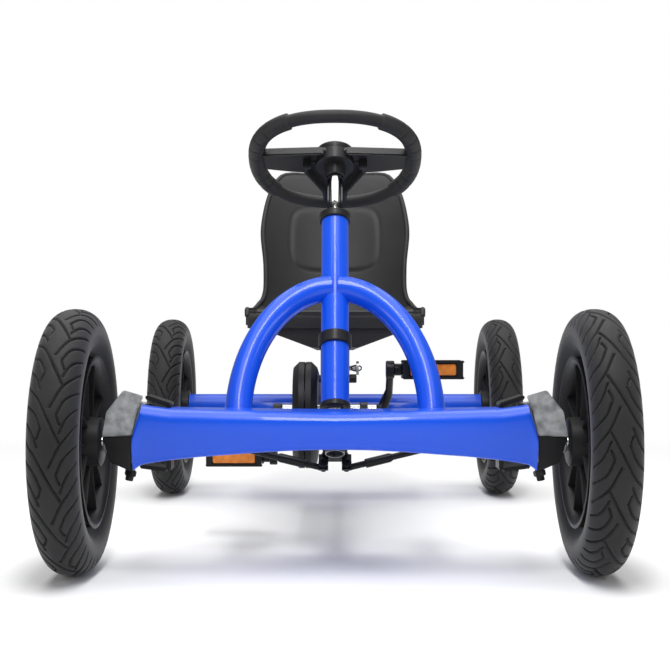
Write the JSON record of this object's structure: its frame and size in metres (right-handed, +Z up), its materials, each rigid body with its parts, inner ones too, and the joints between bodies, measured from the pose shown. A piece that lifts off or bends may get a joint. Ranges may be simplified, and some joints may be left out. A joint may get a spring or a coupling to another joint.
{
  "type": "pedal go kart",
  "caption": "Child's pedal go kart with a tube frame, swinging front beam, steering wheel, bucket seat, enclosed chain drive and air tyres.",
  "frame": {"origin": "on the ground, midway between the wheels of both axles", "axes": "+Z up, -Y forwards, +X to the kart's left"},
  "size_m": [0.677, 1.1376, 0.584],
  "materials": {
    "frame_paint": "glossy royal blue powder coat",
    "black_plastic": "satin moulded",
    "tyre": "matt moulded rubber",
    "wheel_plastic": "satin moulded",
    "black_metal": "satin black coat",
    "zinc_steel": "zinc plated",
    "chrome": "polished",
    "pedal_plastic": "satin moulded",
    "grip_plastic": "soft satin",
    "seat_plastic": "fine grained satin"
  },
  "bodies": {
    "frame": {"head_tube": "frame_paint", "column_ring": "black_plastic", "upper_bush": "black_plastic", "lower_bush": "black_plastic", "arch_tube_left": "frame_paint", "arch_tube_right": "frame_paint", "front_cross_plate": "frame_paint", "swing_pivot_pin": "zinc_steel", "main_tube": "frame_paint", "bottom_bracket_shell": "frame_paint", "bottom_bracket_bush_left": "black_plastic", "bottom_bracket_bush_right": "black_plastic", "rear_loop": "frame_paint", "axle_housing_left": "frame_paint", "axle_housing_right": "frame_paint", "axle_bush_left": "black_plastic", "axle_bush_right": "black_plastic", "chain_case_outer": "black_plastic", "chain_case_inner": "black_plastic", "chain": "zinc_steel"},
    "front_axle": {"front_beam": "frame_paint", "swing_bush": "black_plastic", "yoke_left": "black_metal", "yoke_right": "black_metal", "kingpin_left": "black_metal", "kingpin_right": "black_metal"},
    "knuckle_left": {"knuckle_left": "zinc_steel"},
    "knuckle_right": {"knuckle_right": "zinc_steel"},
    "tie_rod_left": {"tie_rod_left": "black_metal"},
    "tie_rod_right": {"tie_rod_right": "black_metal"},
    "wheel_front_left": {"tyre_front_left": "tyre", "rim_front_left": "wheel_plastic", "hub_cap_front_left": "wheel_plastic"},
    "wheel_front_right": {"tyre_front_right": "tyre", "rim_front_right": "wheel_plastic", "hub_cap_front_right": "wheel_plastic"},
    "wheel_rear_left": {"tyre_rear_left": "tyre", "rim_rear_left": "wheel_plastic", "hub_cap_rear_left": "wheel_plastic"},
    "rear_axle": {"rear_shaft": "zinc_steel", "rear_sprocket": "zinc_steel", "tyre_rear_right": "tyre", "rim_rear_right": "wheel_plastic", "hub_cap_rear_right": "wheel_plastic"},
    "crank": {"crank_axle": "chrome", "chainring": "zinc_steel", "crank_collar": "black_plastic", "crank_arm_left": "black_metal", "crank_arm_right": "black_metal"},
    "pedal_left": {"pedal_left": "pedal_plastic"},
    "pedal_right": {"pedal_right": "pedal_plastic"},
    "steering": {"steering_shaft": "zinc_steel", "pitman_arm": "black_metal"},
    "steering_wheel": {"steering_stem": "chrome", "steering_wheel": "grip_plastic", "steering_hub_pad": "grip_plastic"},
    "seat": {"seat_shell": "seat_plastic", "seat_saddle": "black_metal"},
    "seat_lock": {"seat_lock_pin": "zinc_steel"}
  },
  "joints": [
    {"name": "front_axle_swing", "type": "hinge", "parent": "frame", "child": "front_axle", "pos_m": [0, -0.41, 0.176], "axis": [0, 1, 0], "range_deg": [-4, 4]},
    {"name": "steering_turn", "type": "hinge", "parent": "frame", "child": "steering", "pos_m": [0, -0.37087, 0.13941], "axis": [0, 0.454, 0.891], "range_deg": [-30, 30]},
    {"name": "steering_height", "type": "slide", "parent": "steering", "child": "steering_wheel", "axis": [0, 0.454, 0.891], "range_m": [-0.03, 0.03]},
    {"name": "kingpin_left", "type": "hinge", "parent": "front_axle", "child": "knuckle_left", "pos_m": [0.237, -0.41, 0.15875], "axis": [-0.2072, 0, 0.9783], "range_deg": [-24, 24]},
    {"name": "tie_rod_pivot_left", "type": "hinge", "parent": "knuckle_left", "child": "tie_rod_left", "pos_m": [0.225, -0.35, 0.172], "axis": [-0.347, 0, 0.9379], "range_deg": [-27, 27]},
    {"name": "front_wheel_spin_left", "type": "hinge", "parent": "knuckle_left", "child": "wheel_front_left", "pos_m": [0.31, -0.41, 0.15875], "axis": [1, 0, 0], "continuous": true},
    {"name": "kingpin_right", "type": "hinge", "parent": "front_axle", "child": "knuckle_right", "pos_m": [-0.237, -0.41, 0.15875], "axis": [0.2072, 0, 0.9783], "range_deg": [-24, 24]},
    {"name": "tie_rod_pivot_right", "type": "hinge", "parent": "knuckle_right", "child": "tie_rod_right", "pos_m": [-0.225, -0.35, 0.172], "axis": [0.347, 0, 0.9379], "range_deg": [-27, 27]},
    {"name": "front_wheel_spin_right", "type": "hinge", "parent": "knuckle_right", "child": "wheel_front_right", "pos_m": [-0.31, -0.41, 0.15875], "axis": [1, 0, 0], "continuous": true},
    {"name": "rear_wheel_spin_left", "type": "hinge", "parent": "frame", "child": "wheel_rear_left", "pos_m": [0.297, 0.41, 0.15875], "axis": [1, 0, 0], "continuous": true},
    {"name": "rear_axle_spin", "type": "hinge", "parent": "frame", "child": "rear_axle", "pos_m": [0, 0.41, 0.15875], "axis": [1, 0, 0], "continuous": true},
    {"name": "crank_spin", "type": "hinge", "parent": "frame", "child": "crank", "pos_m": [-0.0075, -0.21, 0.179], "axis": [1, 0, 0], "continuous": true},
    {"name": "pedal_spin_left", "type": "hinge", "parent": "crank", "child": "pedal_left", "pos_m": [0.12575, -0.28245, 0.24198], "axis": [1, 0, 0], "continuous": true},
    {"name": "pedal_spin_right", "type": "hinge", "parent": "crank", "child": "pedal_right", "pos_m": [-0.14075, -0.13755, 0.11602], "axis": [1, 0, 0], "continuous": true},
    {"name": "seat_slide", "type": "slide", "parent": "frame", "child": "seat", "axis": [0, 1, 0], "range_m": [-0.05, 0.04]},
    {"name": "seat_lock_pull", "type": "slide", "parent": "seat", "child": "seat_lock", "axis": [1, 0, 0], "range_m": [0, 0.008], "stiffness_N_per_m": 300, "springref_m": -0.002}
  ],
  "couplings": [
    {"joint": "kingpin_left", "follows": "steering_turn", "ratio": 0.771},
    {"joint": "kingpin_right", "follows": "steering_turn", "ratio": 0.771},
    {"joint": "tie_rod_pivot_left", "follows": "steering_turn", "ratio": -0.864},
    {"joint": "tie_rod_pivot_right", "follows": "steering_turn", "ratio": -0.864},
    {"joint": "crank_spin", "follows": "rear_axle_spin", "ratio": 0.60714}
  ]
}
